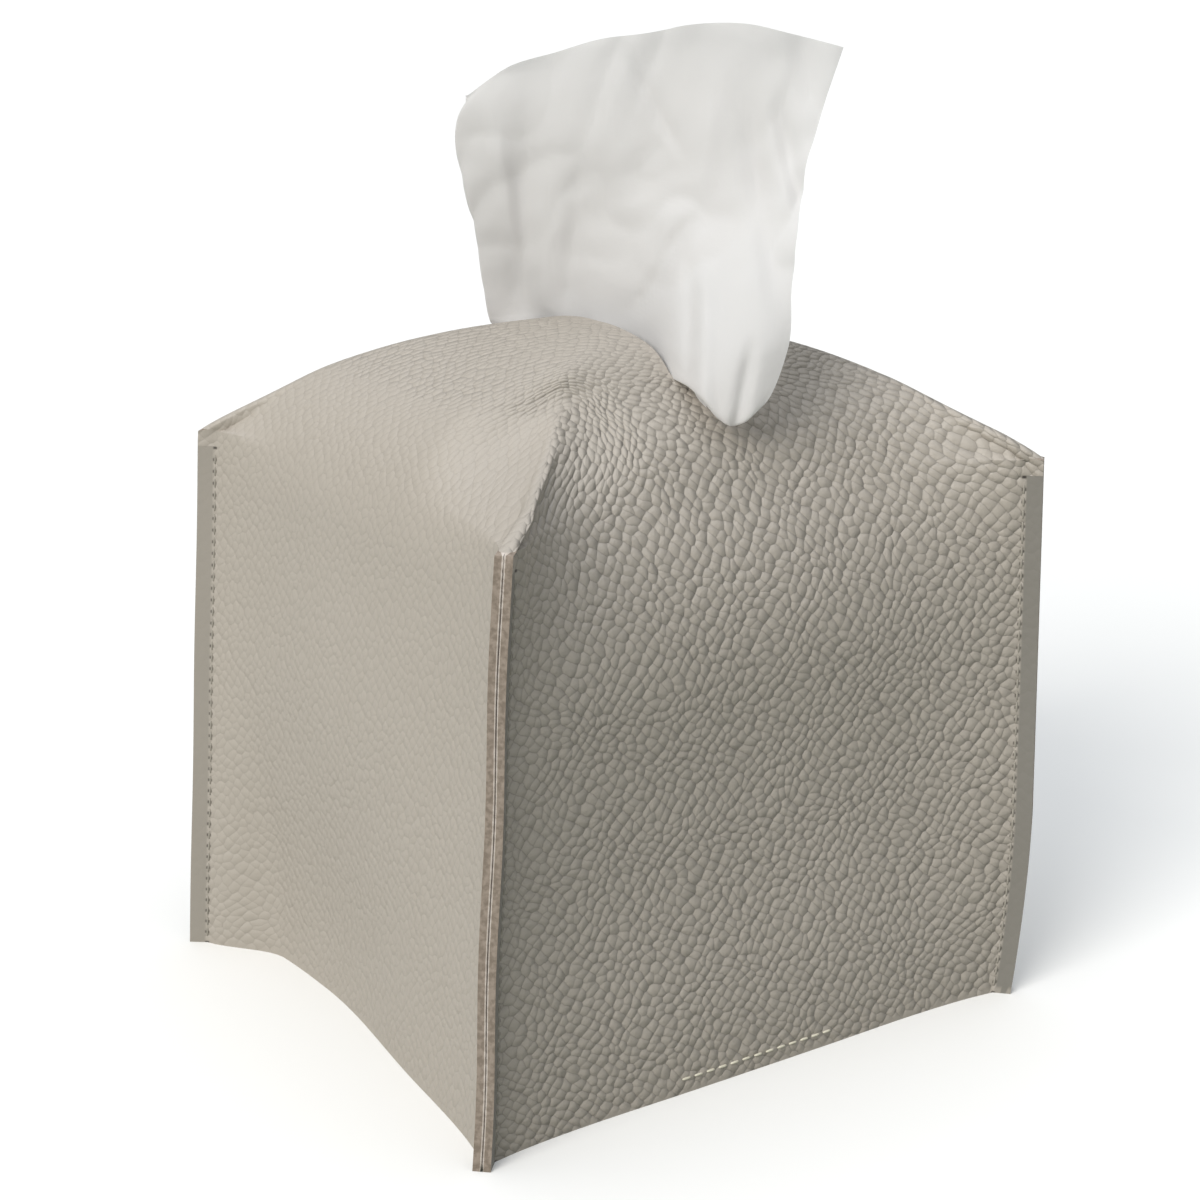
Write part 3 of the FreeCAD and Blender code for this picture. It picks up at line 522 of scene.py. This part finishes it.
def settle(points):
    """Moves points of the upright cover to where the soft one stands."""
    x, y, z = np.asarray(points, float).T
    high = z / SEAM_TOP
    spread = [foot + (top - foot) * np.clip(high, 0, 1) for foot, top in zip(FOOT_SPREAD, TOP_SPREAD)]
    low = 1 - smooth(0, BOW_HEIGHT, z)
    bow_front = np.exp(-((y - LEFT_BOW_PLACE) / LEFT_BOW_WIDTH) ** 2)
    bow_back = 1 - smooth(*LEFT_BOW_END, y)
    bow = LEFT_BOW * np.where(y < LEFT_BOW_PLACE, bow_front, bow_back) * smooth(*SIDE_BAND, -x) * low
    bow -= RIGHT_BOW * np.exp(-(y / RIGHT_BOW_WIDTH) ** 2) * smooth(*SIDE_BAND, x) * low
    foot = 1 - smooth(0, FOOT_HEIGHT, z)
    push = FOOT_PUSH * foot * (1 - np.clip(np.abs(x) / PUSH_HALF_WIDTH, 0, 1) ** 3)
    push *= smooth(*SIDE_BAND, y) - smooth(*SIDE_BAND, -y)
    sag = SAG * np.sin(z / SAG_LENGTHS[0] + x / SAG_LENGTHS[1]) * smooth(*SIDE_BAND, np.abs(y))
    sag *= 1 - np.clip(np.abs(x) / SAG_HALF_WIDTH, 0, 1)
    ridge = smooth(*RIDGE_BAND, -x) * smooth(*RIDGE_BAND, -y)
    ridge *= smooth(*RIDGE_START, z) * (1 - smooth(*RIDGE_END, z))
    swell = corner_swell(x, y, z)
    ripple = RIPPLE * np.sin(z / RIPPLE_LENGTHS[0] + x / RIPPLE_LENGTHS[1])
    ripple *= smooth(*RIPPLE_BAND, np.hypot(x, y)) * (z < SEAM_TOP)
    out_x = x * spread[0] + LEAN[0] * (high - LEAN_PIVOT) + bow
    out_x += RIDGE_SHIFT[0] * ridge + SWELL_WAY[0] * swell + ripple * np.sign(y)
    out_y = y * spread[1] + LEAN[1] * high + push - np.sign(y) * sag * (1 - foot)
    out_y += drawn_front(x, y, z) + RIDGE_SHIFT[1] * ridge - SWELL_WAY[1] * swell - ripple * np.sign(x)
    return np.column_stack([out_x, out_y, z])


def leather_skin():
    """The whole cover as one shell: four panels and the crown's patch, outside and inside, and the edges."""
    points, blank, seam, grain, faces, kinds = [], [], [], [], [], []
    sides = {}

    def add(block, block_blank, block_seam, block_grain, face_kind):
        first = sum(len(each) for each in points)
        rows, columns = block.shape[:2]
        points.append(block.reshape(-1, 3))
        blank.append(block_blank.reshape(-1, 2))
        seam.append(block_seam.reshape(-1, 2))
        grain.append(block_grain.ravel())
        for number, face in enumerate(grid_faces(first, rows, columns)):
            faces.append(face)
            kinds.append(face_kind(number // (columns - 1), number % (columns - 1)))

    seam_row = WALL_ROWS + SEAM_ROWS - 2
    for inset, plain in ((0, SKIN), (PLY, INNER)):
        rims, rim_blanks, rim_grain = [], [], []
        for name, degrees in PANELS:
            block, block_blank, block_seam = panel_grid(inset, degrees)
            last = block.shape[1] - 2

            def face_kind(row, column):
                from_edge = min(column, last - column)
                if plain == INNER or row > seam_row or from_edge >= CUT_FACES:
                    return plain
                return INNER if from_edge == 0 else CUT

            add(block, block_blank, block_seam, np.full(block.shape[:2], GRAIN[name]), face_kind)
            rims.append(block[-1])
            rim_blanks.append(block_blank[-1])
            rim_grain.append(np.full(len(block[-1]), GRAIN[name]))
            sides[inset, name] = block, block_blank
        crown, crown_blank = crown_grid(inset, np.concatenate(rims), np.concatenate(rim_blanks))
        weights = np.tile(np.concatenate(rim_grain), (len(crown), 1))
        far = np.full(crown.shape[:2] + (2,), FAR_FROM_SEAM)
        add(crown, crown_blank, far, CROWN_GRAIN + (1 - CROWN_GRAIN) * weights, lambda row, column: plain)
        sides[inset, "slot"] = crown[-1:], crown_blank[-1:]
    for name in [name for name, _ in PANELS] + ["slot"]:
        strip = np.concatenate([sides[0, name][0][:1], sides[PLY, name][0][:1]])
        strip_blank = np.concatenate([sides[0, name][1][:1], sides[PLY, name][1][:1]])
        far = np.full(strip.shape[:2] + (2,), FAR_FROM_SEAM)
        add(strip, strip_blank, far, np.zeros(strip.shape[:2]), lambda row, column: CUT)
    return points, blank, seam, grain, faces, kinds


def leather_cover():
    points, blank, seam, grain, faces, kinds = leather_skin()
    flat = np.concatenate(points)
    made = mesh_object("cover_skin", settle(flat), faces, [LEATHER, CORE, LINING], kinds)
    add_uv(made.data, "Blank", np.concatenate(blank) / BLANK_UNIT)
    add_uv(made.data, "Seam", np.concatenate(seam))
    values = made.data.attributes.new("grain", "FLOAT", "POINT")
    values.data.foreach_set("value", np.concatenate(grain).astype(np.float32))
    shell = bmesh.new()
    shell.from_mesh(made.data)
    bmesh.ops.remove_doubles(shell, verts=shell.verts, dist=MERGE * MM)
    bmesh.ops.dissolve_degenerate(shell, edges=shell.edges, dist=SLIVER * MM)
    bmesh.ops.recalc_face_normals(shell, faces=shell.faces)
    shell.to_mesh(made.data)
    shell.free()
    made.data.set_sharp_from_angle(angle=SHARP_ANGLE)
    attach(made, "cover")
    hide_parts("leather_cover")


# Stitches


def stitch_mesh(name, stitches, thread, body, node):
    """One piece of thread: a bead for each stitch, given by its middle, its run and its outward side."""
    points, faces = [], []
    turns = np.arange(STITCH_SIDES) * (2 * math.pi / STITCH_SIDES)
    for middle, run, out in stitches:
        run, out = run / np.linalg.norm(run), out / np.linalg.norm(out)
        side = np.cross(run, out)
        first = len(points)
        for angle in math.pi * np.arange(STITCH_STEPS + 1) / STITCH_STEPS:
            place = middle - run * (STITCH_LENGTH / 2 * math.cos(angle))
            width = THREAD_RADIUS * math.sqrt(max(math.sin(angle), THREAD_END_SHARE))
            for turn in turns:
                points.append(place + side * (width * math.cos(turn)) + out * (width * math.sin(turn)))
        faces += tube_faces(first, STITCH_STEPS + 1, STITCH_SIDES)
    made = mesh_object(name, points, faces, [thread])
    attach(made, body)
    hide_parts(node)


def settled_row(starts, outs):
    """Stitches along points of the upright cover, moved with the leather."""
    places = settle(starts)
    upright = np.ptp(starts[:, 2]) > 0
    ahead = settle(starts + PROBE * np.array([0, 0, 1] if upright else [1, 0, 0]))
    sides = settle(starts + outs * PROBE) - places
    return [(place, front - place, side) for place, front, side in zip(places, ahead, sides)]


def seam_threads():
    """The lockstitch row of each corner seam, seen on both sides of its fin."""
    count = int((SEAM_TOP - SEAM_ROW_END) / STITCH_PITCH)
    heights = STITCH_PITCH * (np.arange(count) + 1.0)
    along = TIP * ROOT2 - SEAM_ALLOWANCE
    for name, degrees in (("front_left", -90), ("front_right", 0), ("back_right", 90), ("back_left", 180)):
        stitches = []
        for side in (-1, 1):
            plan = turned(on_fin(along, side * (FIN_THICK - PINCH))[None], degrees)[0]
            out = turned(np.array([[-1, -1]]) * side / ROOT2, degrees)[0]
            starts = np.column_stack([np.tile(plan, (count, 1)), heights])
            stitches += settled_row(starts, np.tile([*out, 0], (count, 1)))
        node = "seam_thread_" + name
        stitch_mesh("seam_stitches_" + name, stitches, SEAM_THREAD, "cover", node)


def belt_threads():
    """The short rows that hold the belt and the tab to their panels."""
    xs = -STRAP_HALF_WIDTH + 2 * STRAP_HALF_WIDTH * (np.arange(BELT_STITCHES) + 0.5) / BELT_STITCHES
    rows = (("front", -1, BELT["row"], "front_belt_thread"), ("back", 1, TAB["row"], "back_tab_thread"))
    for name, side, z, node in rows:
        level = np.full(BELT_STITCHES, z)
        outer = np.column_stack([xs, np.full(BELT_STITCHES, side * PANEL), level])
        stitches = settled_row(outer, np.tile([0, side, 0], (BELT_STITCHES, 1)))
        inner = np.column_stack([xs, np.full(BELT_STITCHES, side * STRAP_INNER_Y), level])
        stitches += [(place, np.array([1.0, 0, 0]), np.array([0, -side, 0.0])) for place in inner]
        stitch_mesh("belt_stitches_" + name, stitches, BELT_THREAD, "cover", node)


# The belt and the tab


def strap_path(floor, reach):
    """The strap's middle line, as (y, z): down the panel, round the bend and out to the tip."""
    middle_z = floor + STRAP_THICK / 2
    path = [(STRAP_Y, z) for z in np.linspace(floor + SEWN_HEIGHT, middle_z + STRAP_BEND, SEWN_ROWS)]
    for turn in np.linspace(0, math.pi / 2, BEND_ROWS + 1)[1:]:
        inward, down = STRAP_BEND * (1 - math.cos(turn)), STRAP_BEND * (1 - math.sin(turn))
        path.append((STRAP_Y - inward, middle_z + down))
    free = np.linspace(STRAP_Y - STRAP_BEND, HINGE_Y - reach, FREE_ROWS)[1:]
    return np.array(path + [(y, middle_z) for y in free])


def strap(name, side, sizes, nodes):
    """A length of leather sewn to a panel, bent under it and running free to a rounded tip."""
    path = strap_path(sizes["floor"], sizes["reach"])
    steps = np.concatenate([[0], np.cumsum(np.linalg.norm(np.diff(path, axis=0), axis=1))])
    ahead = np.gradient(path, axis=0)
    ahead /= np.linalg.norm(ahead, axis=1)[:, None]
    section = [*STRAP_SECTION, *[(x, -y) for x, y in STRAP_SECTION[::-1]]]
    half_thick = STRAP_THICK / 2
    points, blank = [], []
    for (y, z), (dy, dz), step in zip(path, ahead, steps):
        left = max(steps[-1] - step, 0)
        narrow = STRAP_TIP - math.sqrt(max(STRAP_TIP ** 2 - max(STRAP_TIP - left, 0) ** 2, 0))
        half = STRAP_HALF_WIDTH - narrow
        for x, off in section:
            points.append((x * half, side * (y - dz * off * half_thick), z + dy * off * half_thick))
            blank.append((x * STRAP_HALF_WIDTH, step + UNDERSIDE * (off > 0)))
    count = len(section)
    faces = tube_faces(0, len(path), count)
    faces += [tuple(range(count)), tuple(range(len(points) - count, len(points)))[::-1]]
    made = mesh_object(name, points, faces, [LEATHER])
    add_uv(made.data, "Blank", np.array(blank) / BLANK_UNIT)
    add_uv(made.data, "Seam", np.full((len(points), 2), FAR_FROM_SEAM))
    values = made.data.attributes.new("grain", "FLOAT", "POINT")
    values.data.foreach_set("value", [STRAP_GRAIN] * len(points))
    made.data.set_sharp_from_angle(angle=STRAP_SHARP_ANGLE)
    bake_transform(made)
    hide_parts(*nodes)


# The tissue

SLOT_MIDDLE = np.array([4.1, -1.3])
TISSUE_ROWS, TISSUE_COLUMNS, LEAST_NORMAL = 150, 220, 1e-9
# The flat tissue in metres, and how many units of its UV map are in a metre
FLAT_TISSUE, SHEET_UNITS = (0.19, 0.20), 10
# In the slot: the heights of the rows, how far off its middle each layer lies, and the row where it begins
SLOT_HEIGHTS, FRONT_OFF, BACK_OFFS, LAYER_GAP = (150, 143, 136), -1.5, (2.2, 2.0, 1.5), 1.2
SLOT_ROW, GATHER_ROWS = 6, 1.6
# The lobe over the slot's front end: its first column, its root's height, and the back layer behind it
LOBE_FIRST, LOBE_ROOT, BEHIND_LOBE, BEHIND_LOBE_STEP = 5, 145.5, 8, (3.5, 5)
# How far the back layer lies behind and below the front one, from the top row down
BACK_SHIFTS, BACK_SIDEWAYS, FOLD_COLUMNS = ((5, 3), (7, 0), (7, 0), (4, 0)), 0.5, 2
# The tail below the slot, folded back on itself, as (height, distance off the slot's middle)
TAIL = ((128, -1.6), (102, -2.0), (78, -2.0), (71.5, 0.0), (78, 1.6), (112, 1.6))
# The pleats of the gathered part: depth, turns over the width, and how they wander
WIDE_PLEAT, WIDE_TURNS, WIDE_WANDER, WANDER_TURNS = 0.9, 27, 2, 7
NARROW_PLEAT, NARROW_TURNS, NARROW_DRIFT = 0.55, 63, 3
# The small creases: their depth, their scales, and where the sheet hangs free
CRUMPLE_DEPTH, LEAST_CRUMPLE_SHARE, FREE_HEIGHTS = 0.75, 0.15, (150, 172)
CRUMPLE_SCALES, CRUMPLE_LAYER, FINE_SCALE, FINE_SHARE = (6, 5, 12), 3.7, 2.3, 0.4
CREASE_SCALE, CREASE_SHARE, CREASE_SHIFT = 1.3, 1.8, Vector((9.1, 4.2, 0.6))
# Where a soft fold fades in at its lower end and out at its upper one, in shares of its length from below
FOLD_FADE_IN, FOLD_FADE_OUT = (-0.15, 0.2), (0.7, 1.25)
# The soft folds of the tissue: upper end and lower end as (across, height), width and depth
TISSUE_FOLDS = (((-14.5, 196), (-16.5, 150), 3.6, 1.9), ((-2.7, 184), (-6.0, 148), 2.6, 1.3),
                ((-9.0, 176), (-12.5, 148), 3.4, -1.2), ((19.5, 172), (9.0, 152), 2.2, 2.8),
                ((31.0, 194), (36.0, 160), 2.8, 1.7), ((14.0, 208), (10.0, 176), 4.5, 1.4),
                ((30.8, 150), (27.6, 133), 1.4, 1.5), ((24.0, 200), (20.0, 168), 3.0, -1.2),
                ((19.5, 162), (18.6, 140), 1.5, 1.6), ((22.0, 164), (22.0, 140), 1.8, -1.0),
                ((37.5, 194), (42.5, 172), 2.0, 2.2), ((41.0, 210), (44.0, 195), 2.8, 1.6),
                ((7.0, 204), (17.0, 186), 1.6, 1.2), ((-22.0, 190), (-17.0, 160), 2.0, -1.2))


def seen(across, nearer, z):
    """A point by how far right and how near it is in the picture's view, and its height."""
    return ACROSS * across + NEARER * nearer + np.array([-LEAN[0] * LEAN_PIVOT, 0, z])


def in_slot(along, z, off):
    """A point in the slot, by its distance from the slot's middle towards the front, and off it."""
    return np.array([SLOT_MIDDLE[0] + off, SLOT_MIDDLE[1] - along, z])


def tissue_net():
    """Rows of points from the top edge down: the back layer, the fold on the left, the front layer."""
    top = ((-27, -16, 195), (-18, -12, 201.5), (-8, -8, 204.8), (1.5, -4, 207.8), (11.5, 0, 209.3),
           (21, 4, 211.3), (31, 8, 211.6), (41, 11, 209.5), (50, 14, 207.4))
    high = ((-30, -18, 186), (-20, -14, 187), (-10, -10, 187), (-1, -5.5, 187), (8.5, -0.5, 187),
            (17.5, 4, 187), (27, 9, 187), (36, 13, 187), (43.8, 17, 187))
    middle = ((-27.2, -21, 173), (-18.5, -17.5, 173.5), (-9, -12.5, 174), (-0.5, -7.5, 174), (8.5, -1, 174),
              (17, 6, 174), (26, 12, 174), (35, 18, 174), (41.6, 23, 174))
    lower = ((-25.5, -25, 160), (-17.5, -21.5, 160), (-9.5, -15.5, 160.5), (-1.5, -9, 161), (8, 0.5, 161.5),
             (17.5, 14, 162), (24.5, 21, 162), (33, 26, 162), (39.8, 28, 161.5))
    mouth = ((-23.7, -28.5, 146.5), (-15, -25, 148.5), (-9, -17.5, 150), (-1, -8.5, 150.5), (8, 2, 150.5),
             (18.3, 26, 147.5), (24, 32, 147.2), (32, 35, 148.3), (38.8, 33, 149.8))
    hem = ((-22.4, -30.5, 142.8), None, None, None, None,
           (19.8, 31, 141.2), (25.2, 35.5, 136.2), (28.8, 36.5, 135), (33, 36, 138.5))
    slot_places = (-36.5, -25, -13, -2, 9, 19, 25.5, 31, 36)
    tail_places = (-34, -26, -17, -8.5, 0, 8.5, 17, 26, 34)
    front = [[seen(*point) for point in row] for row in (top, high, middle, lower, mouth)]
    front.append([in_slot(place, SLOT_HEIGHTS[1], FRONT_OFF) if point is None else seen(*point)
                  for place, point in zip(slot_places, hem)])
    front.append([in_slot(place, LOBE_ROOT if column >= LOBE_FIRST else SLOT_HEIGHTS[2], FRONT_OFF)
                  for column, place in enumerate(slot_places)])
    back = []
    for row, (behind, below) in zip((top, high, middle, lower), BACK_SHIFTS):
        side = []
        for column, (across, nearer, z) in enumerate(row):
            opened = min(column, FOLD_COLUMNS) / FOLD_COLUMNS
            past_root = column - LOBE_FIRST + 1
            if row is lower and past_root > 0:
                across = BEHIND_LOBE + past_root * BEHIND_LOBE_STEP[0]
                nearer = past_root * BEHIND_LOBE_STEP[1]
            away = behind * opened
            side.append(seen(across - away * BACK_SIDEWAYS, nearer - away, z - below * opened))
        back.append(side)
    for near, z, off in zip(front[len(back):], SLOT_HEIGHTS, BACK_OFFS):
        back.append([near[0]] + [in_slot(place, z, off) for place in slot_places[1:]])
    for z, off in TAIL:
        near = [in_slot(place, z, off) for place in tail_places]
        front.append(near)
        back.append([near[0]] + [in_slot(place, z, off + LAYER_GAP) for place in tail_places[1:]])
    return np.array([behind[:0:-1] + near for behind, near in zip(back, front)])


def through(points, count):
    """A smooth curve through the points along the first axis, resampled."""
    last = len(points) - 1
    place = np.linspace(0, last, count)
    index = np.minimum(place.astype(int), last - 1)
    share = (place - index).reshape(-1, *[1] * (points.ndim - 1))
    before, after = points[np.maximum(index - 1, 0)], points[np.minimum(index + 2, last)]
    start, end = points[index], points[index + 1]
    return start + 0.5 * share * (end - before + share * (
        2 * before - 5 * start + 4 * end - after + share * (3 * (start - end) + after - before)))


def pleats(rows, columns):
    """Wide and narrow pleats that run down the gathered part."""
    wide = WIDE_PLEAT * np.sin(columns * WIDE_TURNS + WIDE_WANDER * np.sin(rows * WANDER_TURNS))
    return wide + NARROW_PLEAT * np.sin(columns * NARROW_TURNS + NARROW_DRIFT * rows)


def folds(sheet):
    """How far the soft folds press each point away from the viewer."""
    height, across = sheet[..., 2], sheet @ ACROSS
    deep = np.zeros_like(height)
    for high_end, low_end, width, depth in TISSUE_FOLDS:
        share = (height - low_end[1]) / (high_end[1] - low_end[1])
        middle = low_end[0] + (high_end[0] - low_end[0]) * share
        ends = smooth(*FOLD_FADE_IN, share) * (1 - smooth(*FOLD_FADE_OUT, share))
        deep += depth * np.exp(-((across - middle) / width) ** 2) * ends
    return deep


def crumples(rows, columns):
    """Small soft bumps with a few sharper creases between them."""
    across, slant, down = CRUMPLE_SCALES
    made = np.zeros_like(rows)
    for spot in np.ndindex(rows.shape):
        place = Vector((columns[spot] * across + rows[spot] * slant, rows[spot] * down, CRUMPLE_LAYER))
        fine = FINE_SHARE * noise.noise(place * FINE_SCALE)
        crease = CREASE_SHARE * abs(noise.noise(place * CREASE_SCALE + CREASE_SHIFT))
        made[spot] = noise.noise(place) + fine - crease
    return made


def pulled_tissue():
    """The tissue as one thin sheet: it stands in the slot, hangs over its end and is gathered below."""
    net = tissue_net()
    sheet = through(net, TISSUE_ROWS)
    sheet = through(sheet.transpose(1, 0, 2), TISSUE_COLUMNS).transpose(1, 0, 2)
    normal = np.cross(np.gradient(sheet, axis=1), np.gradient(sheet, axis=0))
    normal /= np.maximum(np.linalg.norm(normal, axis=2), LEAST_NORMAL)[..., None]
    down, over = np.linspace(0, 1, TISSUE_ROWS), np.linspace(-1, 1, TISSUE_COLUMNS)
    rows, columns = np.meshgrid(down, over, indexing="ij")
    gathered = smooth(SLOT_ROW, SLOT_ROW + GATHER_ROWS, rows * (len(net) - 1))
    free = smooth(*FREE_HEIGHTS, sheet[..., 2])
    loose = (LEAST_CRUMPLE_SHARE + (1 - LEAST_CRUMPLE_SHARE) * free) * (1 - gathered)
    raised = pleats(rows, columns) * gathered + CRUMPLE_DEPTH * crumples(rows, columns) * loose
    pressed = folds(sheet) * (1 - gathered)
    sheet = sheet + normal * raised[..., None] - NEARER * pressed[..., None]
    faces = grid_faces(0, TISSUE_ROWS, TISSUE_COLUMNS)
    made = mesh_object("tissue_sheet", sheet.reshape(-1, 3), faces, [TISSUE])
    flat = np.column_stack([columns.ravel() * FLAT_TISSUE[0] / 2, rows.ravel() * FLAT_TISSUE[1]])
    add_uv(made.data, "Sheet", flat * SHEET_UNITS)
    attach(made, "tissue")
    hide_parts("pulled_tissue")


def dress(node, made):
    """Gives a CAD node its material."""
    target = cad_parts[node]
    target.data.materials.clear()
    target.data.materials.append(made)


# The stage: the floor as it lights the object and as it is seen, the world and the two lamps
FLOOR_SIZE, FLOOR_ROUGHNESS = 80, 0.9
FLOOR_LIT, FLOOR_SEEN = (0.31, 0.325, 0.285), (0.90, 0.885, 0.86)
WORLD_COLOUR, WORLD_STRENGTH = (0.96, 1.0, 1.0, 1), 0.2
KEY = {"source": (-0.80, -0.30, 0.52), "strength": 2.65, "softness": 35, "colour": (1.0, 0.99, 0.96)}
OVERHEAD = {"source": (0.0, 0.0, 1.0), "strength": 1.9, "softness": 80, "colour": (0.94, 0.99, 1.06)}


def stage():
    bpy.ops.mesh.primitive_plane_add(size=FLOOR_SIZE)
    floor = bpy.context.object
    floor.name = "floor"
    pale = material("pale_floor", FLOOR_SEEN, FLOOR_ROUGHNESS)
    nodes = Nodes(pale)
    nodes.link(nodes.mix(nodes.direct(), FLOOR_LIT, FLOOR_SEEN), "Base Color")
    floor.data.materials.append(pale)
    world = bpy.data.worlds.new("studio")
    bpy.context.scene.world = world
    world.use_nodes = True
    background = world.node_tree.nodes["Background"]
    background.inputs["Color"].default_value = WORLD_COLOUR
    background.inputs["Strength"].default_value = WORLD_STRENGTH
    add_sun("key", **KEY)
    add_sun("overhead", **OVERHEAD)


def add_sun(name, source, strength, softness, colour):
    light = bpy.data.lights.new(name, "SUN")
    light.color = colour
    light.energy = strength
    light.angle = math.radians(softness)
    made = bpy.data.objects.new(name, light)
    made.rotation_euler = Vector(source).to_track_quat("Z", "Y").to_euler()
    bpy.context.scene.collection.objects.link(made)


def camera():
    back = Vector(NEARER * math.cos(ELEVATION)) + Vector((0, 0, math.sin(ELEVATION)))
    right = Vector(ACROSS)
    up = back.cross(right)
    turn = Matrix((right, up, back)).transposed() @ Matrix.Rotation(TWIST, 3, "Z")
    lens = bpy.data.cameras.new("camera")
    lens.lens, lens.sensor_width = LENS, SENSOR
    lens.clip_start, lens.clip_end = CLIP
    made = bpy.data.objects.new("camera", lens)
    made.matrix_world = Matrix.Translation(Vector(CAMERA_PLACE) * MM) @ turn.to_4x4()
    bpy.context.scene.collection.objects.link(made)
    bpy.context.scene.camera = made


bpy.context.scene.view_settings.view_transform = "Standard"
leather_cover()
seam_threads()
belt_threads()
strap("belt_strap", -1, BELT, ("front_belt_end", "closing_belt"))
strap("tab_strap", 1, TAB, ("back_tab_end", "closing_tab"))
pulled_tissue()
dress("tissue_carton", BOARD)
dress("tissue_stack", TISSUE)
dress("hook_pad", HOOKS)
dress("loop_pad", LOOPS)
dress("hook_pad_thread", BELT_THREAD)
dress("loop_pad_thread", BELT_THREAD)
stage()
camera()
